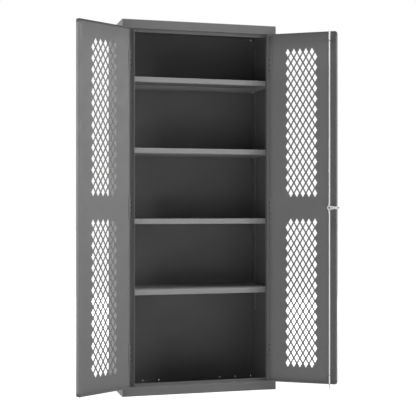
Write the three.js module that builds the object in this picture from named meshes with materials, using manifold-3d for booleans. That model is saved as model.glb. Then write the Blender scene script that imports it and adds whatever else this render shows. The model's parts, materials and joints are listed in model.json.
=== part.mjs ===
// A ventilated steel storage cabinet with inset double doors, four shelves and a three-point latch.
// Millimetres, +Z up. The origin is the centre of the base, on the floor. The doors face -Y.
import * as THREE from 'three';
import { mergeVertices } from 'three/addons/utils/BufferGeometryUtils.js';
import Module from 'manifold-3d';

const wasm = await Module();
wasm.setup();

// Overall size and sheet metal
const width = 914.4;
const depth = 457.2;
const height = 2133.6;
const sheet = 1.9;
const bendRadius = 1.6;
const bendSteps = 2;
const seam = 0.3;
const overrun = 1;

// Front frame
const railHeight = 50.8;
const railLip = 16;
const jambWidth = 47.6;
const jambLip = 6;
const returnDepth = 28.6;

// Back
const backFlange = 19;
const reliefRadius = 3;
const reliefInset = 5;
const floorHoleRadius = 3.2;
const floorHoleHeight = 8.4;
const floorHolePitch = 101.6;
const floorHolesLeft = 4;
const floorHolesRight = 3;
const cornerHoleInset = 6.1;
const holeSides = 6;

// Shelves, their uprights and clips
const slotPitch = 101.6;
const slotsPerShelf = 4;
const shelfLowest = 596.8;
const shelfHeadroom = 200;
const shelfHeight = 30;
const shelfHem = 12;
const shelfSetback = 44;
const shelfBackGap = 37.2;
const uprightWidth = 30;
const uprightStand = 8;
const uprightSheet = 1.5;
const uprightInset = 72;
const uprightFoot = 430;
const uprightHeadGap = 83.6;
const slotWidth = 12;
const slotHeight = 19;
const slotBelowShelf = 17.5;
const slotsUnderLowestShelf = 1;
const clipSheet = 2.2;
const clipLedge = 15;
const clipRise = 11;
const clipHookRise = 5.5;
const clipHookThroat = 3;
const clipClearance = 0.4;

// Doors
const leftDoorAngle = 148.6;
const rightDoorAngle = 148;
const panDepth = 25.4;
const axisForward = 4.5;
const hingeGap = 5;
const meetingGap = 2.4;
const endGap = 4.8;
const freeLip = 24.5;
const lipCut = 20;
const flangeLap = 6;

// Diamond perforation
const diamondWidth = 25.4;
const diamondHeight = 46.8;
const columnPitch = 35.5;
const rowPitch = 30.3;
const columnCount = 5;
const fieldEndMargin = 84;
const fieldMiddleMargin = 60;
const leftFieldShift = 1.9;
const rightFieldShift = -5.2;

// Astragal on the right door
const astragalReach = 3.2;
const astragalLap = 12;
const astragalChamfer = 4.5;
const astragalChamferHeight = 11;

// Hinges
const hingeLength = 114.3;
const hingeInset = 179.2;
const hingeLeaf = 2;
const frameLeafReach = 24;
const doorLeafReach = 22;
const knuckleRadius = 4.6;
const knuckleBore = 3;
const knuckleCount = 3;
const knuckleGap = 0.4;
const leafClearance = 0.6;
const pinRadius = 2.5;
const pinHead = 2;
const hingeSides = 8;

// Latch: spindle, cam and rods
const latchInset = 39.4;
const rodDepth = 19;
const rodRadius = 4.75;
const rodTipRadius = 3.4;
const rodTipLength = 24;
const rodReach = 28.5;
const rodClearance = 0.65;
const rodSides = 10;
const rodSwingShare = 0.15;
const rodEyeRadius = 6.25;
const rodFlatThickness = 4.5;
const rodFlatLength = 16;
const railHoleRadius = 7;
const guideWidth = 30;
const guideThickness = 3;
const guideInset = 52;
const camThickness = 3;
const camLift = 0.5;
const camRadius = 13.5;
const camHubRadius = 10;
const crankRadius = 24.5;
const tongueReach = 60;
const tongueWidth = 15;
const tongueRootRadius = 10.5;
const tongueRootPlace = 16.5;
const rivetRadius = 3.2;
const rivetRise = 1.4;
const studRadius = 3;
const studHeadRadius = 4.6;
const studHeadThickness = 1.2;
const spindleWidth = 8;
const spindleFit = 0.3;
const spindleHoleFit = 0.7;
const nutRadius = 8;
const nutThickness = 6;
const threadRadius = 3.6;
const threadOverhang = 1.6;
const latchSides = 16;

// Handle on the outer face
const baseRadius = 24;
const baseThickness = 4;
const handleHubRadius = 17;
const handleHubHeight = 20;
const gripLength = 112;
const gripTipRadius = 9;
const gripThickness = 11;
const gripWaistShare = 0.62;
const handleBevel = 1.6;
const plugRadius = 7;
const plugDepth = 14;
const plugFlange = 8.6;
const plugFlangeThickness = 1.5;
const plugFit = 0.3;
const keySlotLength = 8;
const keySlotWidth = 1.6;
const keySlotDepth = 3;

// Sizes that follow from the ones above
const outerBend = bendRadius + sheet;
const frontY = -depth / 2;
const backY = depth / 2;
const wallInside = width / 2 - sheet;
const innerHalf = wallInside - seam;
const openingHalf = width / 2 - jambWidth;
const uprightFace = innerHalf - uprightStand;
const shelfDepth = depth - shelfSetback - shelfBackGap;
const uprightHead = height - uprightHeadGap;
const firstSlot = shelfLowest - slotBelowShelf - slotsUnderLowestShelf * slotPitch;
const slotCount = Math.floor((uprightHead - slotHeight - firstSlot) / slotPitch) + 1;
const shelfPitch = slotsPerShelf * slotPitch;
const shelfCount = Math.floor((height - railHeight - shelfHeadroom - shelfLowest) / shelfPitch) + 1;
const clipFace = uprightFace - seam;
const shelfHalf = clipFace - clipSheet - seam;
const hingeX = openingHalf - hingeGap / 2;
const hingeY = frontY - axisForward;
const doorStart = hingeGap / 2;
const doorEnd = hingeX - meetingGap / 2;
const doorBottom = railHeight + endGap;
const doorTop = height - railHeight - endGap;
const middle = height / 2;
const fieldTop = doorTop - fieldEndMargin;
const fieldBottom = middle + fieldMiddleMargin;
const rowCount = Math.floor((fieldTop - fieldBottom - diamondHeight) / rowPitch) + 1;
const hingeSpread = doorTop - hingeInset - middle;
const doorLeafFace = axisForward + sheet + seam;
const doorLeafEnd = doorStart + sheet + seam + doorLeafReach;
const latchX = doorEnd - latchInset;
const camBottom = panDepth + camLift;
const camTop = camBottom + camThickness;
const rodFlatTop = camBottom - seam;
const rodFlatBottom = rodFlatTop - rodFlatThickness;
const rodSwing = crankRadius * rodSwingShare;

// Materials
const paint = { color: 0x74767a, roughness: 0.55, metalness: 0.15 };
const zinc = { color: 0xc9ccd0, roughness: 0.32, metalness: 0.85 };
const cast = { color: 0x2c2d30, roughness: 0.45, metalness: 0.3 };
const chrome = { color: 0xd8dadd, roughness: 0.18, metalness: 1 };

// A three.js geometry as a solid that can be cut and joined
function solid(geometry) {
  const bare = geometry.clone();
  bare.deleteAttribute('normal');
  bare.deleteAttribute('uv');
  const merged = mergeVertices(bare, 1e-4);
  const vertProperties = new Float32Array(merged.attributes.position.array);
  const triVerts = new Uint32Array(merged.index.array);
  return new wasm.Manifold(new wasm.Mesh({ numProp: 3, vertProperties, triVerts }));
}

// A solid as a named mesh
function piece(name, made, finish) {
  const mesh = made.getMesh();
  const indexed = new THREE.BufferGeometry();
  indexed.setAttribute('position', new THREE.BufferAttribute(mesh.vertProperties, mesh.numProp));
  indexed.setIndex(new THREE.BufferAttribute(mesh.triVerts, 1));
  const geometry = indexed.toNonIndexed();
  geometry.computeVertexNormals();
  const part = new THREE.Mesh(geometry, new THREE.MeshStandardMaterial(finish));
  part.name = name;
  return part;
}

// Extrudes shapes between two places on the third axis: xy is a plan, xz a front view and yz a side view
function extrude(shapes, plane, from, to, bevel = 0) {
  const options = {
    depth: to - from - 2 * bevel,
    curveSegments: 4,
    bevelEnabled: bevel > 0,
    bevelThickness: bevel,
    bevelSize: bevel,
    bevelOffset: -bevel,
    bevelSegments: 1,
  };
  const geometry = new THREE.ExtrudeGeometry(shapes, options);
  if (plane === 'xy') {
    geometry.translate(0, 0, from + bevel);
  }
  if (plane === 'xz') {
    geometry.rotateX(Math.PI / 2);
    geometry.translate(0, to - bevel, 0);
  }
  if (plane === 'yz') {
    geometry.rotateX(Math.PI / 2).rotateZ(Math.PI / 2);
    geometry.translate(from + bevel, 0, 0);
  }
  return solid(geometry);
}

function box(low, high) {
  const size = high.map((value, i) => value - low[i]);
  const centre = high.map((value, i) => (value + low[i]) / 2);
  return solid(new THREE.BoxGeometry(...size).translate(...centre));
}

// A disc or bar with its axis along x, y or z
function bar(radius, axis, centre, from, to, sides) {
  const geometry = new THREE.CylinderGeometry(radius, radius, to - from, sides);
  const along = (from + to) / 2;
  if (axis === 'y') {
    geometry.translate(centre[0], along, centre[1]);
  }
  if (axis === 'z') {
    geometry.rotateX(Math.PI / 2);
    geometry.translate(centre[0], centre[1], along);
  }
  return solid(geometry);
}

function shapeOf(points) {
  return new THREE.Shape(points.map(([x, y]) => new THREE.Vector2(x, y)));
}

function rectangle(left, bottom, right, top) {
  return shapeOf([[left, bottom], [right, bottom], [right, top], [left, top]]);
}

// Rounds the corners of an open path with arcs; radii holds one radius for each inner corner
function rounded(path, radii) {
  const points = [path[0]];
  for (let i = 1; i < path.length - 1; i += 1) {
    const into = path[i].clone().sub(path[i - 1]).normalize();
    const out = path[i + 1].clone().sub(path[i]).normalize();
    const turn = Math.atan2(into.cross(out), into.dot(out));
    const radius = radii[i - 1];
    const start = path[i].clone().addScaledVector(into, -radius * Math.tan(Math.abs(turn) / 2));
    const side = new THREE.Vector2(-into.y, into.x).multiplyScalar(Math.sign(turn) * radius);
    const centre = start.clone().add(side);
    for (let step = 0; step <= bendSteps; step += 1) {
      points.push(start.clone().rotateAround(centre, turn * step / bendSteps));
    }
  }
  points.push(path[path.length - 1]);
  return points;
}

// The outline of a bent sheet. The corners are the face that shows.
// Side +1 puts the metal on the left of that face and -1 on its right
function bentSheet(corners, side, thickness = sheet, inner = bendRadius) {
  const path = corners.map(([x, y]) => new THREE.Vector2(x, y));
  const turns = [];
  const other = path.map((point, i) => {
    const before = path[Math.max(i - 1, 0)];
    const after = path[Math.min(i + 1, path.length - 1)];
    const into = (i === 0 ? after.clone().sub(point) : point.clone().sub(before)).normalize();
    const out = (i === path.length - 1 ? into : after.clone().sub(point)).clone().normalize();
    const mitre = into.clone().add(out).normalize();
    const offset = new THREE.Vector2(-mitre.y, mitre.x).multiplyScalar(side * thickness / mitre.dot(into));
    if (i > 0 && i < path.length - 1) {
      turns.push(Math.sign(into.cross(out)) === side);
    }
    return point.clone().add(offset);
  });
  const face = rounded(path, turns.map((around) => (around ? inner + thickness : inner)));
  const back = rounded(other, turns.map((around) => (around ? inner : inner + thickness)));
  return new THREE.Shape([...face, ...back.reverse()]);
}

// Mirrors a solid across the plane x = 0, or z = place
function mirroredX(made) {
  return made.mirror([1, 0, 0]);
}

function mirroredZ(made, place) {
  return made.translate([0, 0, -place]).mirror([0, 0, 1]).translate([0, 0, place]);
}

// Body of the cabinet
function sidePanel() {
  const jambX = openingHalf;
  const returnY = frontY + returnDepth;
  const outline = bentSheet(
    [[width / 2, backY], [width / 2, frontY], [jambX, frontY], [jambX, returnY], [jambX - jambLip, returnY]],
    -1,
  );
  const panel = extrude(outline, 'xy', 0, height);
  const notch = (from, to) => box(
    [jambX - jambLip - overrun, frontY - overrun, from],
    [wallInside, returnY + sheet + overrun, to],
  );
  return panel
    .subtract(notch(-overrun, railHeight + seam))
    .subtract(notch(height - railHeight - seam, height + overrun));
}

function topPanel() {
  const returnY = frontY + returnDepth;
  const returnZ = height - railHeight;
  const outline = bentSheet(
    [[backY, height], [frontY, height], [frontY, returnZ], [returnY, returnZ], [returnY, returnZ - railLip]],
    1,
  );
  const panel = extrude(outline, 'yz', -innerHalf, innerHalf);
  const lipHalf = openingHalf - jambLip - seam;
  const trim = box(
    [lipHalf, returnY - outerBend, returnZ - railLip - overrun],
    [width / 2, returnY + sheet + overrun, returnZ - seam],
  );
  const rodHole = bar(
    railHoleRadius, 'z', [hingeX - latchX, frontY + rodDepth],
    returnZ - overrun, returnZ + sheet + overrun, hingeSides,
  );
  return panel.subtract(trim).subtract(mirroredX(trim)).subtract(rodHole);
}

function backPanel() {
  const low = sheet + seam;
  const high = height - sheet - seam;
  const edge = backY - backFlange;
  const corners = [[-innerHalf, edge], [-innerHalf, backY], [innerHalf, backY], [innerHalf, edge]];
  const outline = bentSheet(corners, -1);
  const flangeHalf = innerHalf - outerBend - reliefInset;
  const flange = box([-flangeHalf, backY - backFlange, low], [flangeHalf, backY - sheet / 2, low + sheet]);
  const hole = (radius, x, z) => bar(radius, 'y', [x, z], backY - outerBend, backY + overrun, holeSides);
  const cornerHole = innerHalf - cornerHoleInset;
  let panel = extrude(outline, 'xy', low, high).add(flange).add(mirroredZ(flange, middle));
  for (const [side, count] of [[-1, floorHolesLeft], [1, floorHolesRight]]) {
    panel = panel.subtract(hole(reliefRadius, side * cornerHole, high - sheet - reliefInset));
    for (let i = 0; i < count; i += 1) {
      const x = side * (cornerHole - i * floorHolePitch);
      panel = panel.subtract(hole(floorHoleRadius, x, floorHoleHeight));
    }
  }
  return panel;
}

// A shelf pan: the front and back edges turn down and in, the ends turn down
function shelf() {
  const half = shelfHalf;
  const front = frontY + shelfSetback;
  const back = front + shelfDepth;
  const outline = bentSheet(
    [[front + shelfHem, -shelfHeight], [front, -shelfHeight], [front, 0], [back, 0], [back, -shelfHeight],
      [back - shelfHem, -shelfHeight]],
    -1,
  );
  const pan = extrude(outline, 'yz', -half, half);
  const end = box([half - sheet, front + outerBend, -shelfHeight], [half, back - outerBend, -sheet / 2]);
  const hemTrim = box(
    [half - sheet - seam, front - overrun, -shelfHeight - overrun],
    [half + overrun, back + overrun, -shelfHeight + outerBend],
  );
  return pan.subtract(hemTrim).subtract(mirroredX(hemTrim)).add(end).add(mirroredX(end));
}

function shelfTop(index) {
  return shelfLowest + index * shelfPitch;
}

// The slotted upright on the right wall, with its slots at the clip heights
function upright() {
  const web = uprightFace;
  const half = uprightWidth / 2;
  const corners = [[innerHalf, -half], [web, -half], [web, half], [innerHalf, half]];
  const outline = bentSheet(corners, -1, uprightSheet);
  const slots = [];
  for (let i = 0; i < slotCount; i += 1) {
    const z = firstSlot + i * slotPitch;
    slots.push(rectangle(-slotWidth / 2, z - slotHeight / 2, slotWidth / 2, z + slotHeight / 2));
  }
  const cutter = extrude(slots, 'yz', web - overrun, web + uprightSheet + overrun);
  return extrude(outline, 'xy', uprightFoot, uprightHead).subtract(cutter);
}

// A shelf clip on the right wall: a plate with a hook through the slot and a ledge under the shelf's end
function clip() {
  const face = clipFace;
  const ledgeTop = slotBelowShelf - shelfHeight - seam;
  const ledgeBottom = ledgeTop - clipSheet;
  const hookBack = uprightFace + uprightSheet + clipHookThroat;
  const hookTop = clipHookRise;
  const half = slotWidth / 2 - clipClearance;
  const outline = shapeOf([
    [face - clipLedge, ledgeBottom], [face, ledgeBottom], [face, hookTop - clipSheet],
    [hookBack - clipSheet, hookTop - clipSheet], [hookBack - clipSheet, ledgeTop + clipSheet],
    [hookBack, ledgeTop + clipSheet], [hookBack, hookTop], [face, hookTop], [face, clipRise],
    [face - clipSheet, clipRise], [face - clipSheet, ledgeTop], [face - clipLedge, ledgeTop],
  ]);
  return extrude(outline, 'xz', -half, half);
}

// Diamond holes of one door: two fields whose rows step half a column sideways in turn
function diamonds(fieldShift) {
  const centreX = (doorStart + doorEnd) / 2 + fieldShift;
  const outlines = [];
  for (let row = 0; row < rowCount; row += 1) {
    const z = (fieldTop + fieldBottom) / 2 + ((rowCount - 1) / 2 - row) * rowPitch;
    const stagger = (row % 2 === 0 ? -1 : 1) * columnPitch / 4;
    for (let column = 0; column < columnCount; column += 1) {
      const x = centreX + stagger + (column - (columnCount - 1) / 2) * columnPitch;
      outlines.push([x, z], [x, height - z]);
    }
  }
  const across = diamondWidth / 2;
  const up = diamondHeight / 2;
  const diamond = (x, z) => shapeOf([[x, z - up], [x + across, z], [x, z + up], [x - across, z]]);
  const shapes = outlines.map(([x, z]) => diamond(x, z));
  return extrude(shapes, 'xz', axisForward - overrun, axisForward + sheet + overrun);
}

// A door pan, closed, with its hinge axis at the origin and its free edge towards +x
function doorPan(endLip, fieldShift) {
  const face = axisForward;
  const rim = axisForward + panDepth;
  const outline = [[doorStart, rim], [doorStart, face], [doorEnd, face], [doorEnd, rim]];
  if (endLip > 0) {
    outline.push([doorEnd - endLip, rim]);
  }
  const body = extrude(bentSheet(outline, 1), 'xy', doorBottom + outerBend, doorTop - outerBend);
  const lapEnd = doorTop - outerBend - flangeLap;
  const flangeOutline = bentSheet([[rim, doorTop], [face, doorTop], [face, lapEnd]], 1);
  const flange = extrude(flangeOutline, 'yz', doorStart + outerBend, doorEnd - outerBend);
  const lipTrim = box(
    [doorEnd - endLip - overrun, rim - outerBend, doorTop - lipCut],
    [doorEnd - outerBend, rim + overrun, doorTop - sheet - seam],
  );
  const cornerNotch = box(
    [doorEnd - outerBend, face + outerBend, doorTop - lipCut],
    [doorEnd + overrun, rim + overrun, doorTop + overrun],
  );
  const trim = lipTrim.add(cornerNotch);
  return body
    .subtract(trim).subtract(mirroredZ(trim, middle))
    .add(flange).add(mirroredZ(flange, middle))
    .subtract(diamonds(fieldShift)).subtract(leafSlots());
}

// Slots in the pan's hinge edge, where the hinge leaves pass through to the inner face
function leafSlots() {
  const half = hingeLength / 2 + leafClearance;
  const slot = box(
    [doorStart - overrun, axisForward + sheet, middle - half],
    [doorStart + outerBend, doorLeafFace + hingeLeaf + leafClearance, middle + half],
  );
  return slot.add(slot.translate([0, 0, hingeSpread])).add(slot.translate([0, 0, -hingeSpread]));
}

function leftDoor() {
  return doorPan(freeLip, leftFieldShift);
}

// The right door is drawn like the left one and mirrored when it is placed
function rightDoor() {
  const z = doorTop - guideInset;
  const tab = box(
    [latchX - guideWidth / 2, axisForward + sheet / 2, z - guideThickness / 2],
    [latchX + guideWidth / 2, axisForward + panDepth, z + guideThickness / 2],
  );
  const hole = rodRadius + rodClearance;
  const slot = new THREE.Shape();
  slot.absarc(latchX + rodSwing, axisForward + rodDepth, hole, -Math.PI / 2, Math.PI / 2, false);
  slot.absarc(latchX - rodSwing, axisForward + rodDepth, hole, Math.PI / 2, 3 * Math.PI / 2, false);
  const rodHole = extrude(slot, 'xy', z - guideThickness, doorTop + overrun);
  const spindleHole = bar(
    spindleWidth / Math.SQRT2 + spindleHoleFit, 'y', [latchX, middle],
    axisForward - overrun, axisForward + sheet + overrun, hingeSides,
  );
  return doorPan(0, rightFieldShift)
    .add(tab).add(mirroredZ(tab, middle))
    .subtract(rodHole).subtract(mirroredZ(rodHole, middle)).subtract(spindleHole);
}

function astragal() {
  const left = doorEnd - astragalLap;
  const right = doorEnd + astragalReach;
  const outline = shapeOf([
    [left, doorBottom], [right - astragalChamfer, doorBottom], [right, doorBottom + astragalChamferHeight],
    [right, doorTop - astragalChamferHeight], [right - astragalChamfer, doorTop], [left, doorTop],
  ]);
  return extrude(outline, 'xz', axisForward - seam - sheet, axisForward - seam);
}

// One leaf of a hinge, in the closed door's frame: side -1 lies on the jamb, side +1 bends into the door pan.
// Its knuckles take every second place, starting at first
function hingeLeafPiece(side, first) {
  const inner = side * knuckleGap / 2;
  const outer = side * (knuckleGap / 2 + hingeLeaf);
  const pitch = hingeLength / knuckleCount;
  const half = hingeLength / 2;
  const plateStart = knuckleRadius + leafClearance;
  const low = Math.min(inner, outer);
  const high = Math.max(inner, outer);
  const plateEnd = side > 0 ? doorLeafFace + hingeLeaf : axisForward + frameLeafReach;
  let leaf = box([low, plateStart, -half], [high, plateEnd, half]);
  if (side > 0) {
    leaf = leaf.add(box([low, doorLeafFace, -half], [doorLeafEnd, plateEnd, half]));
  }
  for (let i = first; i < knuckleCount; i += 2) {
    const from = -half + i * pitch + knuckleGap / 2;
    const to = from + pitch - knuckleGap;
    leaf = leaf.add(box([low, knuckleBore, from], [high, plateStart + overrun, to]));
    leaf = leaf.add(bar(knuckleRadius, 'z', [0, 0], from, to, hingeSides));
  }
  return leaf.subtract(bar(knuckleBore, 'z', [0, 0], -half - overrun, half + overrun, holeSides));
}

function hingePin() {
  const half = hingeLength / 2;
  const profile = [
    [0, -half - pinHead], [knuckleRadius, -half - pinHead], [knuckleRadius, -half - seam + knuckleGap / 2],
    [pinRadius, -half - seam + knuckleGap / 2], [pinRadius, half + seam], [0, half + seam],
  ];
  const points = profile.map(([x, y]) => new THREE.Vector2(x, y));
  return solid(new THREE.LatheGeometry(points, holeSides).rotateX(Math.PI / 2));
}

// The latch pieces are drawn about the spindle's axis, with y measured from the door's outer face inwards
function handle() {
  const back = -baseThickness - 2 * seam;
  const front = back - handleHubHeight;
  const grip = new THREE.Shape();
  const waist = handleHubRadius * gripWaistShare;
  grip.moveTo(waist, 0);
  grip.lineTo(-waist, 0);
  grip.lineTo(-gripTipRadius, -gripLength + gripTipRadius);
  grip.absarc(0, -gripLength + gripTipRadius, gripTipRadius, Math.PI, 2 * Math.PI, false);
  const threadEnd = camTop + nutThickness + seam + threadOverhang;
  const square = spindleWidth / 2;
  return bar(handleHubRadius, 'y', [0, 0], front, back, latchSides)
    .add(extrude(grip, 'xz', front, front + gripThickness, handleBevel))
    .add(box([-square, back - overrun, -square], [square, camTop, square]))
    .add(bar(threadRadius, 'y', [0, 0], camTop - overrun, threadEnd, hingeSides))
    .subtract(bar(plugRadius + plugFit, 'y', [0, 0], front - overrun, front + plugDepth, latchSides));
}

function handleBase() {
  const hole = spindleWidth / Math.SQRT2 + spindleHoleFit;
  return bar(baseRadius, 'y', [0, 0], -baseThickness - seam, -seam, latchSides)
    .subtract(bar(hole, 'y', [0, 0], -baseThickness - overrun, overrun, hingeSides));
}

function lockPlug() {
  const front = -baseThickness - 2 * seam - handleHubHeight;
  const slot = box(
    [-keySlotWidth / 2, front - plugFlangeThickness - overrun, -keySlotLength / 2],
    [keySlotWidth / 2, front + keySlotDepth, keySlotLength / 2],
  );
  return bar(plugRadius, 'y', [0, 0], front - overrun, front + plugDepth - seam, latchSides)
    .add(bar(plugFlange, 'y', [0, 0], front - seam - plugFlangeThickness, front - seam, latchSides))
    .subtract(slot);
}

// The cam: hub, two ears with studs for the rods, and a riveted tongue that reaches past the free edge
function latchCam() {
  const ears = new THREE.Shape();
  ears.absarc(0, crankRadius, rodEyeRadius, 0, Math.PI, false);
  ears.absarc(0, -crankRadius, rodEyeRadius, Math.PI, 2 * Math.PI, false);
  const half = tongueWidth / 2;
  const tipCentre = tongueReach - half;
  const tongue = new THREE.Shape();
  tongue.moveTo(0, half);
  tongue.lineTo(0, -half);
  tongue.absarc(tipCentre, 0, half, -Math.PI / 2, Math.PI / 2, false);
  const square = spindleWidth / 2 + spindleFit;
  const headTop = rodFlatBottom - seam;
  let cam = bar(camRadius, 'y', [0, 0], camBottom, camTop, latchSides)
    .add(extrude(ears, 'xz', camBottom, camTop))
    .add(extrude(tongue, 'xz', camBottom, camTop))
    .add(bar(tongueRootRadius, 'y', [tongueRootPlace, 0], camBottom, camTop, latchSides))
    .add(bar(camHubRadius, 'y', [0, 0], sheet + seam, camTop, latchSides));
  for (const side of [-1, 1]) {
    const centre = [0, side * crankRadius];
    cam = cam
      .add(bar(studRadius, 'y', centre, headTop, camTop, hingeSides))
      .add(bar(studHeadRadius, 'y', centre, headTop - studHeadThickness, headTop, hingeSides));
  }
  for (const place of [tongueRootPlace, tipCentre]) {
    cam = cam.add(bar(rivetRadius, 'y', [place, 0], camBottom, camTop + rivetRise, hingeSides));
  }
  return cam.subtract(box([-square, -overrun, -square], [square, camTop + overrun, square]));
}

function camNut() {
  const from = camTop + seam;
  const to = from + nutThickness;
  return bar(nutRadius, 'y', [0, 0], from, to, holeSides)
    .subtract(bar(threadRadius + spindleFit, 'y', [0, 0], from - overrun, to + overrun, hingeSides));
}

// The upper rod: a flattened eye on the cam's stud, a round bar and a thinner tip
function rod() {
  const tip = doorTop - middle + rodReach;
  const shoulder = tip - rodTipLength;
  const flatEnd = crankRadius + rodFlatLength;
  const centre = [0, rodDepth];
  const eye = new THREE.Shape();
  eye.absarc(0, crankRadius, rodEyeRadius, Math.PI, 2 * Math.PI, false);
  eye.lineTo(rodRadius, flatEnd);
  eye.lineTo(-rodRadius, flatEnd);
  return extrude(eye, 'xz', rodFlatBottom, rodFlatTop)
    .add(bar(rodRadius, 'z', centre, flatEnd - rodFlatLength / 2, shoulder, rodSides))
    .add(bar(rodTipRadius, 'z', centre, shoulder - overrun, tip, rodSides))
    .subtract(bar(studRadius + spindleFit, 'y', [0, crankRadius], 0, panDepth + overrun, hingeSides));
}

// Assembly
const cabinet = new THREE.Group();

function add(parent, name, made, finish = paint) {
  const mesh = piece(name, made, finish);
  parent.add(mesh);
  return mesh;
}

function addBody() {
  const side = sidePanel();
  add(cabinet, 'left_side_panel', mirroredX(side));
  add(cabinet, 'right_side_panel', side);
  const top = topPanel();
  add(cabinet, 'top_panel', top);
  add(cabinet, 'bottom_panel', mirroredZ(top, middle));
  add(cabinet, 'back_panel', backPanel());
}

function addShelves() {
  const pan = shelf();
  const rail = upright();
  const hook = clip();
  const rows = [['front', frontY + uprightInset], ['rear', backY - uprightInset]];
  for (const [row, y] of rows) {
    add(cabinet, `${row}_left_upright`, mirroredX(rail)).position.y = y;
    add(cabinet, `${row}_right_upright`, rail).position.y = y;
  }
  for (let i = 0; i < shelfCount; i += 1) {
    const z = shelfTop(i);
    add(cabinet, `shelf_${i + 1}`, pan).position.z = z;
    for (const [row, y] of rows) {
      const slotPlace = [0, y, z - slotBelowShelf];
      add(cabinet, `shelf_${i + 1}_${row}_left_clip`, mirroredX(hook), zinc).position.set(...slotPlace);
      add(cabinet, `shelf_${i + 1}_${row}_right_clip`, hook, zinc).position.set(...slotPlace);
    }
  }
}

// A door's group has its origin on the hinge axis and turns with the door
function doorGroup(side, angle) {
  const group = new THREE.Group();
  group.position.set(side * hingeX, hingeY, 0);
  group.rotation.z = side * THREE.MathUtils.degToRad(angle);
  cabinet.add(group);
  return group;
}

function addHinges(group, side, hand) {
  const place = (made) => (side > 0 ? mirroredX(made) : made);
  const levels = [['lower', middle - hingeSpread], ['middle', middle], ['upper', middle + hingeSpread]];
  const frameLeaf = place(hingeLeafPiece(-1, 0));
  const doorLeaf = place(hingeLeafPiece(1, 1));
  const pin = hingePin();
  for (const [level, z] of levels) {
    add(cabinet, `${hand}_${level}_hinge_frame_leaf`, frameLeaf).position.set(side * hingeX, hingeY, z);
    add(cabinet, `${hand}_${level}_hinge_pin`, pin, zinc).position.set(side * hingeX, hingeY, z);
    add(group, `${hand}_${level}_hinge_door_leaf`, doorLeaf).position.z = z;
  }
}

function addLatch(group) {
  const latch = new THREE.Group();
  latch.position.set(-latchX, axisForward, middle);
  group.add(latch);
  const upperRod = mirroredX(rod());
  add(latch, 'handle_base', handleBase(), cast);
  add(latch, 'handle', handle(), cast);
  add(latch, 'lock_plug', lockPlug(), chrome);
  add(latch, 'latch_cam', mirroredX(latchCam()), zinc);
  add(latch, 'cam_nut', camNut(), zinc);
  add(latch, 'upper_rod', upperRod, zinc);
  add(latch, 'lower_rod', mirroredZ(upperRod, 0), zinc);
}

addBody();
addShelves();

const left = doorGroup(-1, leftDoorAngle);
add(left, 'left_door', leftDoor());
addHinges(left, -1, 'left');

const right = doorGroup(1, rightDoorAngle);
add(right, 'right_door', mirroredX(rightDoor()));
add(right, 'door_astragal', mirroredX(astragal()));
addHinges(right, 1, 'right');
addLatch(right);

export default cabinet;
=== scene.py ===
"""A ventilated steel cabinet: paint and plating, finer latch and hinge pieces, and a plain studio."""
import json
import math
import bmesh
import bpy
from mathutils import Matrix, Vector


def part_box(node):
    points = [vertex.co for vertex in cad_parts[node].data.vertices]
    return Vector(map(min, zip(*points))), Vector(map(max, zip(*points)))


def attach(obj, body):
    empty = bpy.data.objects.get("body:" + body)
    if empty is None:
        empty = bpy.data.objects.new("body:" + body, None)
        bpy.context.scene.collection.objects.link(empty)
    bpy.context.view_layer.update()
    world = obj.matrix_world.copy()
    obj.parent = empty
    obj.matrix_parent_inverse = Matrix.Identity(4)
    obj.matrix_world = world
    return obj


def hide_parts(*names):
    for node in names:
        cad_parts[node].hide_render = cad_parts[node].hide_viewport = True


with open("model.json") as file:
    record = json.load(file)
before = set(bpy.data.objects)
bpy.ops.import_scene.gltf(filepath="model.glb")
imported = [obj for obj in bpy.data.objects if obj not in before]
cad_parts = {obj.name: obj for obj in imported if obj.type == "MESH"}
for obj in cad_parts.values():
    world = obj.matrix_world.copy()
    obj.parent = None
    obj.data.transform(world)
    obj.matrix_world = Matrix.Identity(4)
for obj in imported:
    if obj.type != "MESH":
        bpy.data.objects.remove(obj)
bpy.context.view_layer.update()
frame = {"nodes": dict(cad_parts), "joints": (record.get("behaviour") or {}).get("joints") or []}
nodes = frame["nodes"]
joints = {joint["name"]: joint for joint in frame["joints"]}

# Pieces are drawn in millimetres and placed in metres
MM = 0.001
UP = Vector((0, 0, 1))

# Camera, fitted to the photograph's outline, in metres and degrees
PHOTO_WIDTH = 416
FOCAL_PIXELS = 995.8
SENSOR_WIDTH = 36
CAMERA_PLACE = (-1.4919, -5.7641, 1.0655)
CAMERA_YAW = 15.496

# Lights: name, place, the point it faces, width, height and power in watts
LIGHTS = (
    ("top_light", (0, -1.55, 6.9), (0, 0, 1.1), 2.6, 2.6, 190),
    ("key_light", (5.08, -2.93, 2.35), (0, 0, 1.1), 2.6, 2.6, 198),
    ("left_light", (-5.87, 0, 2.35), (0, 0, 1.1), 2.6, 2.6, 205),
    ("low_left_light", (-5.2, -3.0, 0.65), (0, 0, 0.65), 3.0, 1.1, 36),
    ("front_light", (0, -6.0, 0.65), (0, 0, 0.65), 3.0, 1.1, 9),
    ("floor_light", (0, -3.4, 0.02), (0, -3.4, 3), 4.0, 2.0, 20),
    ("rear_light", (1.6, 5.8, 2.3), (0, 0, 1.1), 2.6, 2.6, 140),
)

# Floor: its glow rises from one level to the other between two distances, in metres
FLOOR_HALF = 40
FLOOR_TONE = 0.8
FLOOR_ROUGHNESS = 0.9
FLOOR_SPECULAR = 0.1
FLOOR_GLOW = (0.72, 1.0)
FLOOR_GLOW_PLACE = (1.5, 4.5)

# Noise, with scales in cells per metre
NOISE_ROUGHNESS = 0.55
NOISE_RANGE = (0.35, 0.65)
COLOUR_DETAIL = 4
BUMP_DETAIL = 2

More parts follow.
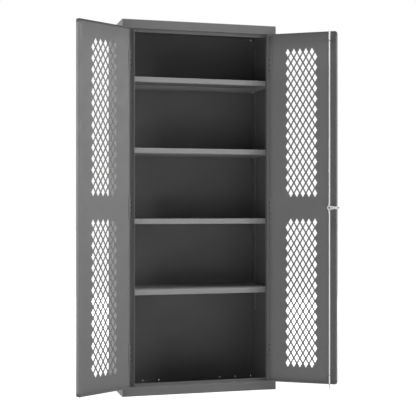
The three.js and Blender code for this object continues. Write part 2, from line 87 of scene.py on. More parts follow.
# Powder coat
PAINT_GREY = 0.172
SHELF_GREY = 0.34
CLOUD_TONES = (0.97, 1.025)
CLOUD_SCALE = 2.2
PAINT_ROUGHNESS = (0.5, 0.58)
PAINT_GLOSS_SCALE = 14
PAINT_GLOSS_DETAIL = 5
PAINT_SPECULAR = 0.35
PEEL_SCALE = 620
PEEL_DEPTH = 0.06

# Zinc plate
ZINC_TONE = 0.68
ZINC_ROUGHNESS = 0.34
# The cam's zinc is a darker copy of the rods' plate: painted shade on the cam
CAM_SHADED_TONE = 0.6
CAM_ROUGHNESS = 0.36
NUT_TONE = 0.42
NUT_ROUGHNESS = 0.4
ZINC_CLOUD_TONES = (0.94, 1.01)
ZINC_CLOUD_SCALE = 90
ZINC_METALLIC = 0.55
MOTTLE_RANGE = (-0.06, 0.08)
MOTTLE_SCALE = 260
PLATING_DETAIL = 3
ZINC_GRAIN_SCALE = 900
ZINC_GRAIN_DEPTH = 0.02

# Black lacquer and oxide
CASTING_COLOURS = ((0.02, 0.0205, 0.022), (0.032, 0.033, 0.035))
CASTING_ROUGHNESS = (0.34, 0.46)
CASTING_GRAIN_DEPTH = 0.04
OXIDE_COLOURS = ((0.012, 0.012, 0.013), (0.02, 0.02, 0.021))
OXIDE_ROUGHNESS = (0.4, 0.55)
OXIDE_GRAIN_DEPTH = 0.02
BLACK_CLOUD_SCALE = 30
BLACK_GLOSS_SCALE = 120
BLACK_GLOSS_DETAIL = 4
BLACK_GRAIN_SCALE = 1100

# Chrome
CHROME_COLOURS = ((0.62, 0.63, 0.65), (0.72, 0.73, 0.75))
CHROME_ROUGHNESS = (0.12, 0.24)
CHROME_CLOUD_SCALE = 200
CHROME_GLOSS_SCALE = 500

# Mesh making
ROUND_SIDES = 32
FINE_SIDES = 64
RING_SAMPLES = 48
CIRCLE = 2
ROUND_CUT = 0.3
OVERRUN = 1
TINY = 1e-9
SMOOTH_ANGLE = math.radians(32)
BEVEL_SEGMENTS = 2
BEVEL_PROFILE = 0.5

# Lock rods, with depths measured inwards from the door's outer face
EYE_RADIUS = 4.9
EYE_LOW = 21.1
EYE_HIGH = 25.6
EYE_END = 27
EYE_SQUARENESS = 7
EYE_FIRST_STEP = 0.3
ROD_STEPS = 8
ROD_START = 37
ROD_RADIUS = 4.75
ROD_DEPTH = 19
TIP_RADIUS = 3.4
TIP_LENGTH = 24
TIP_DOME = 1.6
TIP_DOME_SHAPE = ((1, 1), (1 / 3, 0.8), (0, 0.4))

# Cam, its studs, rivets and nut
CRANK = 24.5
STUD_RADIUS = 3
STUD_FIT = 0.3
STUD_HEAD_RADIUS = 4.6
STUD_HEAD_DEPTH = 1.2
STUD_HEAD_SHAPE = ((0.5, 1), (0.85, 0.8), (1, 0.5), (1, 0))
CAM_RADIUS = 13.5
CAM_BOSS_RADIUS = 10
CAM_LOW = 25.9
CAM_HIGH = 28.9
CAM_CHAMFER = 0.5
CAM_SAMPLES = 360
TONGUE_HALF = 7.5
TONGUE_END = 52.5
ROOT_RADIUS = 10.5
ROOT_PLACE = 16.5
RIVET_RADIUS = 3.9
RIVET_HOLE = 2.8
RIVET_TOP = 30.3
# Black plugs in the rivets' holes: painted shade that darkens the holes
SHADE_PLUG_DEPTH = 0.5
SHADE_PLUG_OVERLAP = 0.1
NUT_CHAMFER = 0.8
THREAD_RADIUS = 3.6
THREAD_PITCH = 1.25
THREAD_DEPTH = 0.45
SPINDLE_HALF = 4
SPINDLE_BEVEL = 0.3

# Handle, its base and its lock
HUB_RADIUS = 17
HUB_ROUNDING = 3
WAIST_HALF = 10.5
GRIP_TIP_HALF = 9
GRIP_HALF_THICKNESS = 5.5
GRIP_SQUARENESS = 3.2
GRIP_END_STEPS = 6
GRIP_END_REACH = 0.9375
GRIP_END_TAPER = 0.6
HANDLE_VOXEL = 0.8
HANDLE_SMOOTHING = 8
LOCK_BORE = 7.3
LOCK_DEPTH = 14
BASE_ROUNDING = 1.4
GROOVE_RADIUS = 20
GROOVE_DEPTH = 0.6
BASE_BORE = 6.3
LOCK_FLANGE_DEPTH = 1.5
LOCK_ROUNDING = 0.5
KEYWAY_HALF_WIDTH = 0.8
KEYWAY_HALF_LENGTH = 4
KEYWAY_DEPTH = 3

# Hinges
LEAF_GAP = 0.2
LEAF_THICKNESS = 2
LEAF_CLEARANCE = 0.6
LEAF_BEVEL = 0.3
KNUCKLE_BORE = 3
KNUCKLE_GAP = 0.4
KNUCKLE_CHAMFER = 0.5
KNUCKLES = 3
PIN_RADIUS = 2.5
PIN_HEAD = 2
PIN_ROUNDING = 0.8
SCREW_X = 12
SCREW_PITCH = 31
SCREW_RADIUS = 3.8
SCREW_HEIGHT = 1.3
SCREW_DOME = ((1, -0.25), (1, 1 / 3), (0.85, 0.8))
RECESS_SHAPE = ((1, 0), (0.6, 1.0))
CROSS_LENGTH = 2.4
CROSS_HALF = 0.55

# Eyelets in the back panel's small holes
SHEET = 1.9
EYELET_RADIUS = 3.6
EYELET_BORE = 2.1
EYELET_RIM = 0.25
EYELET_SUNK = 0.1
EYELET_INSET = 6.1
EYELET_PITCH = 101.6
EYELET_HEIGHT = 8.4
EYELET_DROP = 6.9
LEFT_EYELETS = 4
RIGHT_EYELETS = 3


# Materials
def new_material(name):
    """A node material, its tree and its shader."""
    material = bpy.data.materials.new(name)
    material.use_nodes = True
    tree = material.node_tree
    shader = tree.nodes["Principled BSDF"]
    return material, tree, shader


def noise(tree, scale, detail):
    """Noise fixed to the object."""
    coords = tree.nodes.new("ShaderNodeTexCoord")
    node = tree.nodes.new("ShaderNodeTexNoise")
    node.inputs["Scale"].default_value = scale
    node.inputs["Detail"].default_value = detail
    node.inputs["Roughness"].default_value = NOISE_ROUGHNESS
    tree.links.new(coords.outputs["Object"], node.inputs["Vector"])
    return node.outputs["Fac"]


def spread(tree, value, low, high, span=NOISE_RANGE):
    """A value stretched from its own span to the range from low to high."""
    node = tree.nodes.new("ShaderNodeMapRange")
    node.inputs["From Min"].default_value = span[0]
    node.inputs["From Max"].default_value = span[1]
    node.inputs["To Min"].default_value = low
    node.inputs["To Max"].default_value = high
    tree.links.new(value, node.inputs["Value"])
    return node.outputs["Result"]


def clouded(tree, shader, scale, dark, light):
    """A colour that drifts between two others."""
    node = tree.nodes.new("ShaderNodeMix")
    node.data_type = "RGBA"
    node.inputs["A"].default_value = (*dark, 1)
    node.inputs["B"].default_value = (*light, 1)
    share = spread(tree, noise(tree, scale, COLOUR_DETAIL), 0, 1)
    tree.links.new(share, node.inputs["Factor"])
    tree.links.new(node.outputs["Result"], shader.inputs["Base Color"])


def uneven_gloss(tree, shader, scale, detail, low, high):
    """A roughness that drifts between two levels."""
    level = spread(tree, noise(tree, scale, detail), low, high)
    tree.links.new(level, shader.inputs["Roughness"])


def grain(tree, shader, scale, depth):
    """Fine bumps, with their depth in millimetres."""
    node = tree.nodes.new("ShaderNodeBump")
    node.inputs["Distance"].default_value = depth * MM
    tree.links.new(noise(tree, scale, BUMP_DETAIL), node.inputs["Height"])
    tree.links.new(node.outputs["Normal"], shader.inputs["Normal"])


def greys(tone, shares):
    """Two greys, each a share of a tone."""
    return [(tone * share,) * 3 for share in shares]


def powder_coat(name, tone):
    """Satin powder coat: a fine orange peel, faint clouding and a little uneven gloss."""
    material, tree, shader = new_material(name)
    clouded(tree, shader, CLOUD_SCALE, *greys(tone, CLOUD_TONES))
    uneven_gloss(tree, shader, PAINT_GLOSS_SCALE, PAINT_GLOSS_DETAIL, *PAINT_ROUGHNESS)
    shader.inputs["Specular IOR Level"].default_value = PAINT_SPECULAR
    grain(tree, shader, PEEL_SCALE, PEEL_DEPTH)
    return material


def zinc_plate(name, tone, roughness):
    """Bright zinc plate: faint clouding, a mottled gloss and a fine grain."""
    material, tree, shader = new_material(name)
    clouded(tree, shader, ZINC_CLOUD_SCALE, *greys(tone, ZINC_CLOUD_TONES))
    shader.inputs["Metallic"].default_value = ZINC_METALLIC
    gloss = [roughness + change for change in MOTTLE_RANGE]
    uneven_gloss(tree, shader, MOTTLE_SCALE, PLATING_DETAIL, *gloss)
    grain(tree, shader, ZINC_GRAIN_SCALE, ZINC_GRAIN_DEPTH)
    return material


def black_finish(name, colours, roughness, grain_depth):
    """Black lacquer or oxide over fine-grained metal."""
    material, tree, shader = new_material(name)
    clouded(tree, shader, BLACK_CLOUD_SCALE, *colours)
    uneven_gloss(tree, shader, BLACK_GLOSS_SCALE, BLACK_GLOSS_DETAIL, *roughness)
    grain(tree, shader, BLACK_GRAIN_SCALE, grain_depth)
    return material


def chrome_plate(name):
    """Polished chrome with a faintly uneven shine."""
    material, tree, shader = new_material(name)
    clouded(tree, shader, CHROME_CLOUD_SCALE, *CHROME_COLOURS)
    shader.inputs["Metallic"].default_value = 1
    uneven_gloss(tree, shader, CHROME_GLOSS_SCALE, PLATING_DETAIL, *CHROME_ROUGHNESS)
    return material


body_paint = powder_coat("body_paint", PAINT_GREY)
shelf_paint = powder_coat("shelf_paint", SHELF_GREY)
zinc = zinc_plate("zinc_plate", ZINC_TONE, ZINC_ROUGHNESS)
# A darker copy of the zinc plate for the cam: painted shade
shaded_cam_zinc = zinc_plate("shaded_cam_zinc", CAM_SHADED_TONE, CAM_ROUGHNESS)
nut_steel = zinc_plate("nut_steel", NUT_TONE, NUT_ROUGHNESS)
black = black_finish("black_casting", CASTING_COLOURS, CASTING_ROUGHNESS, CASTING_GRAIN_DEPTH)
screw_black = black_finish("screw_oxide", OXIDE_COLOURS, OXIDE_ROUGHNESS, OXIDE_GRAIN_DEPTH)
chrome = chrome_plate("chrome_plate")


def finish_of(name):
    """The material a CAD node takes, from its name."""
    if name.startswith("shelf_"):
        return zinc if name.endswith("clip") else shelf_paint
    if name in ("handle", "handle_base"):
        return black
    if name == "lock_plug":
        return chrome
    if name.endswith(("_pin", "_rod")) or name in ("latch_cam", "cam_nut"):
        return zinc
    return body_paint


for name, node in nodes.items():
    node.data.materials.clear()
    node.data.materials.append(finish_of(name))


# Frames that pieces are drawn in
def latch_frame():
    """The spindle's axis at the door's outer face: y inwards, z up, x towards the hinge."""
    joint = joints["handle_turn"]
    inwards = Vector(joint["axis"]).normalized()
    place = Matrix((inwards.cross(UP), inwards, UP)).transposed().to_4x4()
    place.translation = Vector(joint["pos_m"])
    return place @ Matrix.Scale(MM, 4)


def hinge_frame(hand, z, on_door):
    """A hinge's axis: x towards the door's free edge, y inwards; pieces on the door turn with it."""
    joint = joints[hand + "_door_hinge"]
    x, y, _ = joint["pos_m"]
    side = math.copysign(1, x)
    opened = -math.radians(joint["range_deg"][1]) if on_door else 0
    turn = Matrix.Rotation(opened, 4, Vector(joint["axis"]))
    place = Matrix.Translation((x, y, z)) @ turn @ Matrix.Diagonal((-side, 1, 1, 1))
    return place @ Matrix.Scale(MM, 4)


def local_box(node, place):
    """A CAD node's lowest and highest corners in a piece's own frame."""
    into = place.inverted()
    points = [into @ vertex.co for vertex in nodes[node].data.vertices]
    low = Vector([min(point[i] for point in points) for i in range(3)])
    high = Vector([max(point[i] for point in points) for i in range(3)])
    return low, high


# Mesh tools
def skin(rings, closed=False):
    """A closed mesh through a row of rings, with flat ends, or back to its first ring when closed."""
    made = bmesh.new()
    loops = [[made.verts.new(point) for point in ring] for ring in rings]
    count = len(loops[0])
    following = loops[1:] + (loops[:1] if closed else [])
    for near, far in zip(loops, following):
        for i in range(count):
            j = (i + 1) % count
            made.faces.new((near[i], near[j], far[j], far[i]))
    if not closed:
        made.faces.new(loops[0])
        made.faces.new(loops[-1])
    bmesh.ops.recalc_face_normals(made, faces=made.faces)
    mesh = bpy.data.meshes.new("part")
    made.to_mesh(mesh)
    made.free()
    return mesh


def turns(sides):
    """Evenly spaced angles round a full turn."""
    return [2 * math.pi * i / sides for i in range(sides)]


def lathe(profile, axis, centre=(0, 0), sides=ROUND_SIDES, closed=False):
    """A turned piece from (radius, place along the axis) pairs, about a line parallel to y or z."""
    rings = []
    for radius, along in profile:
        ring = []
        for turn in turns(sides):
            across = centre[0] + radius * math.cos(turn)
            over = centre[1] + radius * math.sin(turn)
            ring.append((across, along, over) if axis == "y" else (across, over, along))
        rings.append(ring)
    return skin(rings, closed)


def rounded_rim(radius, face, rounding):
    """The profile of a turned piece's rounded edge, from its face to its side."""
    cut = rounding * ROUND_CUT
    return [(radius - rounding, face), (radius - cut, face + cut), (radius, face + rounding)]


def polar_ring(radius_at, depth, samples=RING_SAMPLES):
    """A ring about the y axis from its radius at each angle."""
    return [
        (radius_at(turn) * math.cos(turn), depth, radius_at(turn) * math.sin(turn))
        for turn in turns(samples)
    ]


def oval_ring(z, half_width, half_depth, depth, squareness):
    """A level cross-section, from a circle at a squareness of 2 towards a rectangle."""
    ring = []
    for turn in turns(ROUND_SIDES):
        c, s = math.cos(turn), math.sin(turn)
        across = math.copysign(abs(c) ** (2 / squareness), c) * half_width
        inwards = math.copysign(abs(s) ** (2 / squareness), s) * half_depth
        ring.append((across, depth + inwards, z))
    return ring


def block(low, high):
    """A box between two corners."""
    corners = [(low[0], low[1]), (high[0], low[1]), (high[0], high[1]), (low[0], high[1])]
    return skin([[(x, y, z) for x, y in corners] for z in (low[2], high[2])])


def evaluated(made):
    """A new mesh with an object's modifiers applied."""
    return bpy.data.meshes.new_from_object(made.evaluated_get(bpy.context.evaluated_depsgraph_get()))


def combine(mesh, others, operation):
    """A mesh united with, or cut by, other closed meshes."""
    base = bpy.data.objects.new("base", mesh)
    bpy.context.scene.collection.objects.link(base)
    tools = []
    for other in others:
        tool = bpy.data.objects.new("tool", other)
        bpy.context.scene.collection.objects.link(tool)
        modifier = base.modifiers.new("combine", "BOOLEAN")
        modifier.operation = operation
        modifier.solver = "EXACT"
        modifier.object = tool
        tools.append(tool)
    result = evaluated(base)
    for made in (base, *tools):
        bpy.data.objects.remove(made)
    return result


def rounded_by_voxels(mesh, size, smoothing):
    """A closed mesh rebuilt from voxels and smoothed, so that its inner corners become fillets."""
    made = bpy.data.objects.new("rounded", mesh)
    bpy.context.scene.collection.objects.link(made)
    remesh = made.modifiers.new("remesh", "REMESH")
    remesh.mode = "VOXEL"
    remesh.voxel_size = size
    smooth = made.modifiers.new("smooth", "SMOOTH")
    smooth.iterations = smoothing
    result = evaluated(made)
    bpy.data.objects.remove(made)
    return result


def bevelled(mesh, width):
    """A mesh with a narrow bevel on its sharp edges."""
    made = bmesh.new()
    made.from_mesh(mesh)
    sharp = [edge for edge in made.edges if edge.calc_face_angle(0) > SMOOTH_ANGLE]
    bmesh.ops.bevel(
        made, geom=sharp, offset=width, segments=BEVEL_SEGMENTS, profile=BEVEL_PROFILE, affect="EDGES",
    )
    made.to_mesh(mesh)
    made.free()
    return mesh


def add_piece(name, mesh, place, material, body, slot, *replaced):
    """A finished piece: its mesh placed in the shared frame, riding on its body."""
    own = mesh.copy()
    own.transform(place)
    if place.determinant() < 0:
        own.flip_normals()
    for polygon in own.polygons:
        polygon.use_smooth = True
    own.set_sharp_from_angle(angle=SMOOTH_ANGLE)
    own.name = name
    own.materials.clear()
    own.materials.append(material)
    made = bpy.data.objects.new(name, own)
    bpy.context.scene.collection.objects.link(made)
    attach(made, body)
    if replaced:
        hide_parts(*replaced)


# Cam, nut and rods on the right door
def disc_exit(turn, centre, radius):
    """Where a ray from the origin leaves a disc on the x axis, or 0 if it misses the disc."""
    middle = centre * math.cos(turn)
    room = radius ** 2 - (centre * math.sin(turn)) ** 2
    return middle + math.sqrt(room) if room > 0 else 0


def capsule_exit(turn, reach, half):
    """Where a ray from the origin leaves a round-ended bar that runs from there along the x axis."""
    if math.cos(turn) <= 0:
        return 0
    side = half / max(abs(math.sin(turn)), TINY)
    return side if side * math.cos(turn) < reach else disc_exit(turn, reach, half)


def cam_radius(turn):
    """The cam's outline: hub, two ears and the tongue, whose root is wider."""
    back = turn - math.pi
    return max(
        CAM_RADIUS,
        disc_exit(back, ROOT_PLACE, ROOT_RADIUS),
        capsule_exit(back, TONGUE_END, TONGUE_HALF),
        capsule_exit(turn - math.pi / 2, CRANK, EYE_RADIUS),
        capsule_exit(turn + math.pi / 2, CRANK, EYE_RADIUS),
    )


def cam_plate():
    """The cam's flat plate with chamfered edges."""
    edges = (
        (CAM_LOW, CAM_CHAMFER), (CAM_LOW + CAM_CHAMFER, 0),
        (CAM_HIGH - CAM_CHAMFER, 0), (CAM_HIGH, CAM_CHAMFER),
    )
    return skin([
        polar_ring(lambda turn: cam_radius(turn) - inset, depth, CAM_SAMPLES) for depth, inset in edges
    ])


def hollow_rivet(x):
    """A tubular rivet with a rolled rim."""
    roll = (RIVET_RADIUS - RIVET_HOLE) / 3
    return lathe([
        (RIVET_RADIUS, CAM_LOW + roll), (RIVET_RADIUS, RIVET_TOP - roll),
        (RIVET_RADIUS - roll, RIVET_TOP), (RIVET_HOLE + roll, RIVET_TOP),
        (RIVET_HOLE, RIVET_TOP - roll), (RIVET_HOLE, CAM_HIGH - roll),
    ], "y", (x, 0))


def rivet_shade_plug(x):
    """A black plug in the rivet's hole, shaped as a broken stem: painted shade that darkens the hole.
    """
    radius = RIVET_HOLE + SHADE_PLUG_OVERLAP
    top = RIVET_TOP - SHADE_PLUG_DEPTH
    return lathe([
        (radius, CAM_HIGH - SHADE_PLUG_OVERLAP), (radius, top - SHADE_PLUG_OVERLAP), (radius / 2, top),
    ], "y", (x, 0))


def stud(z):
    """A shouldered stud with a domed head under the rod's eye."""
    head = EYE_LOW - STUD_FIT
    profile = [
        (STUD_HEAD_RADIUS * share, head - STUD_HEAD_DEPTH * rise) for share, rise in STUD_HEAD_SHAPE
    ]
    profile += [(STUD_RADIUS, head), (STUD_RADIUS, CAM_LOW + CAM_CHAMFER)]
    return lathe(profile, "y", (0, z))


def make_cam(place):
    """The cam with its boss, studs and rivets, on the spindle's square."""
    low, _ = local_box("latch_cam", place)
    boss = lathe([
        (CAM_BOSS_RADIUS - CAM_CHAMFER, low.y), (CAM_BOSS_RADIUS, low.y + CAM_CHAMFER),
        (CAM_BOSS_RADIUS, CAM_LOW + CAM_CHAMFER),
    ], "y")
    parts = [boss, hollow_rivet(-ROOT_PLACE), hollow_rivet(-TONGUE_END), stud(CRANK), stud(-CRANK)]
    half = SPINDLE_HALF + STUD_FIT
    bore = block((-half, low.y - OVERRUN, -half), (half, CAM_HIGH + OVERRUN, half))
    cam = combine(combine(cam_plate(), parts, "UNION"), [bore], "DIFFERENCE")
    add_piece("latch_cam_plate", cam, place, shaded_cam_zinc, "handle", "zinc", "latch_cam")
    # Black plugs sunk in the rivets: painted shade that darkens their holes
    for number, x in enumerate((-ROOT_PLACE, -TONGUE_END), 1):
        add_piece(f"rivet_shade_plug_{number}", rivet_shade_plug(x), place, screw_black, "handle", "black")


def make_nut(place):
    """A hexagon nut with chamfered corners."""
    low, high = local_box("cam_nut", place)
    sector = math.pi / 3
    flat = high.z * math.cos(sector / 2)
    bore = THREAD_RADIUS + STUD_FIT
    limits = (
        (low.y, flat), (low.y + NUT_CHAMFER, high.z), (high.y - NUT_CHAMFER, high.z),
        (high.y, flat), (high.y, bore), (low.y, bore),
    )
    rings = [
        polar_ring(lambda turn: min(flat / math.cos(turn % sector - sector / 2), limit), depth)
        for depth, limit in limits
    ]
    add_piece("cam_lock_nut", skin(rings, closed=True), place, nut_steel, "handle", "zinc", "cam_nut")


def eye_rings(half_depth, depth):
    """The rounded end of a rod's flat eye."""
    rings = []
    for step in range(ROD_STEPS + 1):
        angle = math.pi / 2 * (step + EYE_FIRST_STEP) / (ROD_STEPS + EYE_FIRST_STEP)
        z = CRANK - EYE_RADIUS * math.cos(angle)
        rings.append(oval_ring(z, EYE_RADIUS * math.sin(angle), half_depth, depth, EYE_SQUARENESS))
    return rings


def neck_rings(half_depth, depth):
    """The smooth change from the flat eye to the round bar."""
    rings = []
    for step in range(ROD_STEPS + 1):
        share = step / ROD_STEPS
        ease = share * share * (3 - 2 * share)
        rings.append(oval_ring(
            EYE_END + (ROD_START - EYE_END) * share,
            EYE_RADIUS + (ROD_RADIUS - EYE_RADIUS) * ease,
            half_depth + (ROD_RADIUS - half_depth) * ease,
            depth + (ROD_DEPTH - depth) * ease,
            EYE_SQUARENESS + (CIRCLE - EYE_SQUARENESS) * ease,
        ))
    return rings


def tip_rings(end):
    """The bar's end and its turned-down, domed tip."""
    shoulder = end - TIP_LENGTH
    profile = [(shoulder - TIP_DOME, ROD_RADIUS), (shoulder, TIP_RADIUS)]
    profile += [(end - TIP_DOME * below, TIP_RADIUS * share) for below, share in TIP_DOME_SHAPE]
    return [oval_ring(z, radius, radius, ROD_DEPTH, CIRCLE) for z, radius in profile]


def make_rod(name, side, place):
    """A lock rod: a flat eye, a smooth neck, a round bar and a turned-down tip."""
    _, high = local_box("upper_rod", place)
    half_depth = (EYE_HIGH - EYE_LOW) / 2
    depth = (EYE_HIGH + EYE_LOW) / 2
    bar = skin(eye_rings(half_depth, depth) + neck_rings(half_depth, depth) + tip_rings(high.z))
    bore = STUD_RADIUS + STUD_FIT
    hole = lathe([(bore, EYE_LOW - OVERRUN), (bore, EYE_HIGH + OVERRUN)], "y", (0, CRANK))
    rod = combine(bar, [hole], "DIFFERENCE")
    own_place = place @ Matrix.Diagonal((1, 1, side, 1))
    add_piece(name + "_bar", rod, own_place, zinc, name, "zinc", name)


# Handle, its base and its lock
def hub_mesh(front, back):
    """The handle's round hub."""
    profile = rounded_rim(HUB_RADIUS, front, HUB_ROUNDING) + [(HUB_RADIUS, back)]
    return lathe(profile, "y", sides=FINE_SIDES)


def grip_mesh(front, bottom):
    """The lever from the hub's middle down to its tapered round end."""
    depth = front + GRIP_HALF_THICKNESS
    end = bottom + GRIP_TIP_HALF
    sections = [(0, WAIST_HALF, GRIP_HALF_THICKNESS), (end, GRIP_TIP_HALF, GRIP_HALF_THICKNESS)]
    for step in range(1, GRIP_END_STEPS + 1):
        angle = math.pi / 2 * GRIP_END_REACH * step / GRIP_END_STEPS
        taper = 1 - GRIP_END_TAPER * (1 - math.cos(angle))
        sections.append((
            end - GRIP_TIP_HALF * math.sin(angle),
            GRIP_TIP_HALF * math.cos(angle),
            GRIP_HALF_THICKNESS * taper,
        ))
    return skin([oval_ring(z, half, thick, depth, GRIP_SQUARENESS) for z, half, thick in sections])


def thread_mesh(start, end):
    """A threaded spindle end, drawn as ridges between two depths."""
    root = THREAD_RADIUS - THREAD_DEPTH
    profile = [(root, start - OVERRUN)]
    depth = start
    while depth + THREAD_PITCH < end:
        profile.append((THREAD_RADIUS, depth + THREAD_PITCH / 2))
        profile.append((root, depth + THREAD_PITCH))
        depth += THREAD_PITCH
    profile.append((root - THREAD_DEPTH, end))
    return lathe(profile, "y")


def make_handle(place):
    """A cast lever that blends into its hub, with a bore for the lock and a threaded square spindle."""
    low, high = local_box("handle", place)
    front = low.y
    back = local_box("handle_base", place)[0].y - STUD_FIT
    rough = combine(hub_mesh(front, back), [grip_mesh(front, low.z)], "UNION")
    lever = rounded_by_voxels(rough, HANDLE_VOXEL, HANDLE_SMOOTHING)
    bore = lathe([(LOCK_BORE, front - OVERRUN), (LOCK_BORE, front + LOCK_DEPTH)], "y", sides=FINE_SIDES)
    lever = combine(lever, [bore], "DIFFERENCE")
    half = SPINDLE_HALF
    spindle = block((-half, front + LOCK_DEPTH + OVERRUN, -half), (half, CAM_HIGH, half))
    parts = [bevelled(spindle, SPINDLE_BEVEL), thread_mesh(CAM_HIGH, high.y)]
    lever = combine(lever, parts, "UNION")
    add_piece("handle_lever", lever, place, black, "handle", "black", "handle")


def make_base(place):
    """The turned plate under the handle, with a rounded rim and a groove."""
    low, high = local_box("handle_base", place)
    rim, face = high.z, low.y
    profile = [(BASE_BORE, high.y), (rim, high.y)]
    profile += reversed(rounded_rim(rim, face, BASE_ROUNDING))
    profile += [
        (GROOVE_RADIUS + GROOVE_DEPTH, face), (GROOVE_RADIUS, face + GROOVE_DEPTH),
        (GROOVE_RADIUS - GROOVE_DEPTH, face), (BASE_BORE, face),
    ]
    base = lathe(profile, "y", sides=FINE_SIDES, closed=True)
    add_piece("handle_rose", base, place, black, "right_door", "black", "handle_base")


def make_lock(place):
    """The key cylinder: a polished flange and a slot for the key."""
    low, high = local_box("lock_plug", place)
    rim, face = high.z, low.y
    seat = face + LOCK_FLANGE_DEPTH
    edge = LOCK_ROUNDING / 2
    barrel = LOCK_BORE - STUD_FIT
    plug = lathe([
        (rim - 2 * LOCK_ROUNDING, face), (rim - edge, face + edge), (rim, seat - edge), (rim, seat),
        (barrel, seat), (barrel, high.y),
    ], "y")
    keyway = block(
        (-KEYWAY_HALF_WIDTH, face - OVERRUN, -KEYWAY_HALF_LENGTH),
        (KEYWAY_HALF_WIDTH, seat + KEYWAY_DEPTH, KEYWAY_HALF_LENGTH),
    )
    lock = combine(plug, [keyway], "DIFFERENCE")
    add_piece("lock_cylinder", lock, place, chrome, "lock_plug", "chrome", "lock_plug")


def make_latch():
    """The three-point latch with its handle and lock."""
    place = latch_frame()
    make_cam(place)
    make_nut(place)
    make_rod("upper_rod", 1, place)
    make_rod("lower_rod", -1, place)
    make_handle(place)
    make_base(place)
    make_lock(place)


# Hinges
def knuckle(inner, radius, web_start, start, end):
    """A round knuckle and the web that joins it to its leaf."""
    web = block((inner, KNUCKLE_BORE, start), (inner + LEAF_THICKNESS, web_start + 2 * LEAF_BEVEL, end))
    tube = lathe([
        (KNUCKLE_BORE, start), (radius - KNUCKLE_CHAMFER, start), (radius, start + KNUCKLE_CHAMFER),
        (radius, end - KNUCKLE_CHAMFER), (radius - KNUCKLE_CHAMFER, end), (KNUCKLE_BORE, end),
    ], "z", closed=True)
    return [web, tube]


def leaf_mesh(on_door, low, high):
    """A hinge leaf: a plate with its knuckles, and on the door a bend into the pan."""
    inner = LEAF_GAP if on_door else -LEAF_GAP - LEAF_THICKNESS
    radius = -low.y
    web_start = radius + LEAF_CLEARANCE
    plate = block((inner, web_start, low.z), (inner + LEAF_THICKNESS, high.y, high.z))
    if on_door:
        wing = block((inner, high.y - LEAF_THICKNESS, low.z), (high.x, high.y, high.z))
        plate = combine(plate, [wing], "UNION")
    plate = bevelled(plate, LEAF_BEVEL)
    pitch = (high.z - low.z) / KNUCKLES
    parts = []
    for i in range(1 if on_door else 0, KNUCKLES, 2):
        start = low.z + i * pitch + KNUCKLE_GAP / 2
        parts += knuckle(inner, radius, web_start, start, start + pitch - KNUCKLE_GAP)
    return combine(plate, parts, "UNION")


def pin_mesh(low, high):
    """A hinge pin with a rounded head at the bottom and a chamfered end."""
    head = -low.y
    seat = low.z + PIN_HEAD
    profile = rounded_rim(head, low.z, PIN_ROUNDING)
    profile += [
        (head, seat), (PIN_RADIUS, seat),
        (PIN_RADIUS, high.z - PIN_ROUNDING), (PIN_RADIUS - PIN_ROUNDING, high.z),
    ]
    return lathe(profile, "z")


def cross_radius(turn):
    """The outline of a screw's cross recess."""
    c, s = max(abs(math.cos(turn)), TINY), max(abs(math.sin(turn)), TINY)
    return max(min(CROSS_LENGTH / c, CROSS_HALF / s), min(CROSS_HALF / c, CROSS_LENGTH / s))


def screw_mesh():
    """A domed screw head with a cross recess, on the y axis with its seat at 0."""
    rings = []
    for share, rise in SCREW_DOME:
        rings.append(polar_ring(lambda turn: SCREW_RADIUS * share, SCREW_HEIGHT * rise))
    for share, depth in RECESS_SHAPE:
        rings.append(polar_ring(lambda turn: cross_radius(turn) * share, SCREW_HEIGHT - depth))
    return skin(rings)


def make_hinge(hand, level, meshes, screw):
    """One hinge: a leaf on the frame, a leaf and three screws on the door, and a pin."""
    stem = f"{hand}_{level}_hinge_"
    low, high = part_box(stem + "frame_leaf")
    z = (low.z + high.z) / 2
    for part, on_door in (("frame_leaf", False), ("door_leaf", True), ("pin", False)):
        place = hinge_frame(hand, z, on_door)
        if part not in meshes:
            box = local_box(stem + part, place)
            meshes[part] = pin_mesh(*box) if part == "pin" else leaf_mesh(on_door, *box)
        material, slot = (zinc, "zinc") if part == "pin" else (body_paint, "paint")
        body = hand + "_door" if on_door else "cabinet"
        add_piece(stem + part + "_fine", meshes[part], place, material, body, slot, stem + part)
    place = hinge_frame(hand, z, True)
    face = local_box(stem + "door_leaf", place)[1].y
    for number in (1, 2, 3):
        at = place @ Matrix.Translation((SCREW_X, face, (number - 2) * SCREW_PITCH))
        add_piece(f"{stem}screw_{number}", screw, at, screw_black, hand + "_door", "black")


def make_hinges():
    """Six hinges that share the meshes of the first."""
    meshes = {}
    screw = screw_mesh()
    for hand in ("left", "right"):
        for level in ("lower", "middle", "upper"):
            make_hinge(hand, level, meshes, screw)


# Back panel
def make_eyelets():
    """Painted eyelets that narrow the panel's holes, above the floor and in the top corners."""
    _, high = (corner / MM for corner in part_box("back_panel"))
    edge = high.x - EYELET_INSET
    places = []
    for side, count in ((-1, LEFT_EYELETS), (1, RIGHT_EYELETS)):
        places.append((side * edge, high.z - EYELET_DROP))
        places += [(side * (edge - i * EYELET_PITCH), EYELET_HEIGHT) for i in range(count)]
    inner = high.y - SHEET - EYELET_RIM
    outer = high.y - EYELET_SUNK
    profile = [
        (EYELET_BORE, inner + EYELET_RIM), (EYELET_BORE + EYELET_RIM, inner), (EYELET_RADIUS, inner),
        (EYELET_RADIUS, outer), (EYELET_BORE, outer),
    ]
    for number, place in enumerate(places, 1):
        ring = lathe(profile, "y", place, closed=True)
        add_piece(f"back_eyelet_{number}", ring, Matrix.Scale(MM, 4), body_paint, "cabinet", "paint")


make_latch()
make_hinges()
make_eyelets()


# Studio
def seen_directly(tree):
    """1 for camera, glossy and transmission rays, which see the background, and 0 for the rest."""
    path = tree.nodes.new("ShaderNodeLightPath")
    total = path.outputs["Is Camera Ray"]
    for name in ("Is Glossy Ray", "Is Transmission Ray"):
        node = tree.nodes.new("ShaderNodeMath")
        node.operation = "ADD"
        node.use_clamp = True
        tree.links.new(total, node.inputs[0])
        tree.links.new(path.outputs[name], node.inputs[1])
        total = node.outputs[0]
    return total


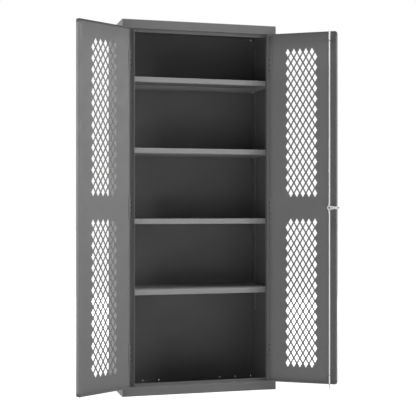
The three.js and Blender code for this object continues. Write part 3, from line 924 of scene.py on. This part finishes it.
def floor_material():
    """A pale floor that keeps the object's shadow and glows white where it is seen."""
    material, tree, shader = new_material("studio_floor")
    shader.inputs["Base Color"].default_value = (FLOOR_TONE, FLOOR_TONE, FLOOR_TONE, 1)
    shader.inputs["Roughness"].default_value = FLOOR_ROUGHNESS
    shader.inputs["Specular IOR Level"].default_value = FLOOR_SPECULAR
    coords = tree.nodes.new("ShaderNodeTexCoord")
    distance = tree.nodes.new("ShaderNodeVectorMath")
    distance.operation = "LENGTH"
    tree.links.new(coords.outputs["Object"], distance.inputs[0])
    level = spread(tree, distance.outputs["Value"], *FLOOR_GLOW, FLOOR_GLOW_PLACE)
    glow = tree.nodes.new("ShaderNodeMath")
    glow.operation = "MULTIPLY"
    tree.links.new(seen_directly(tree), glow.inputs[0])
    tree.links.new(level, glow.inputs[1])
    tree.links.new(glow.outputs[0], shader.inputs["Emission Strength"])
    return material


def pale_floor():
    """A wide flat floor."""
    corners = [(x * FLOOR_HALF, y * FLOOR_HALF, 0) for x, y in ((-1, -1), (1, -1), (1, 1), (-1, 1))]
    made = bmesh.new()
    made.faces.new([made.verts.new(corner) for corner in corners])
    mesh = bpy.data.meshes.new("studio_floor")
    made.to_mesh(mesh)
    made.free()
    mesh.materials.append(floor_material())
    floor = bpy.data.objects.new("studio_floor", mesh)
    bpy.context.scene.collection.objects.link(floor)


def white_world():
    """White where it is seen, and no light of its own."""
    world = bpy.data.worlds.new("studio_world")
    bpy.context.scene.world = world
    world.use_nodes = True
    tree = world.node_tree
    background = tree.nodes["Background"]
    background.inputs["Color"].default_value = (1, 1, 1, 1)
    tree.links.new(seen_directly(tree), background.inputs["Strength"])


def soft_light(name, place, target, width, height, power):
    """A rectangular lamp that faces a point and doesn't show itself."""
    data = bpy.data.lights.new(name, "AREA")
    data.shape = "RECTANGLE"
    data.size = width
    data.size_y = height
    data.energy = power
    light = bpy.data.objects.new(name, data)
    light.location = place
    light.rotation_euler = (Vector(target) - Vector(place)).to_track_quat("-Z", "Y").to_euler()
    light.visible_camera = False
    bpy.context.scene.collection.objects.link(light)


def photo_camera():
    """The camera at the photograph's place and angle, held level."""
    data = bpy.data.cameras.new("camera")
    data.sensor_width = SENSOR_WIDTH
    data.lens = FOCAL_PIXELS * SENSOR_WIDTH / PHOTO_WIDTH
    camera = bpy.data.objects.new("camera", data)
    camera.location = CAMERA_PLACE
    camera.rotation_euler = (math.pi / 2, 0, -math.radians(CAMERA_YAW))
    bpy.context.scene.collection.objects.link(camera)
    bpy.context.scene.camera = camera


pale_floor()
white_world()
for light in LIGHTS:
    soft_light(*light)
photo_camera()
bpy.context.scene.view_settings.view_transform = "Standard"
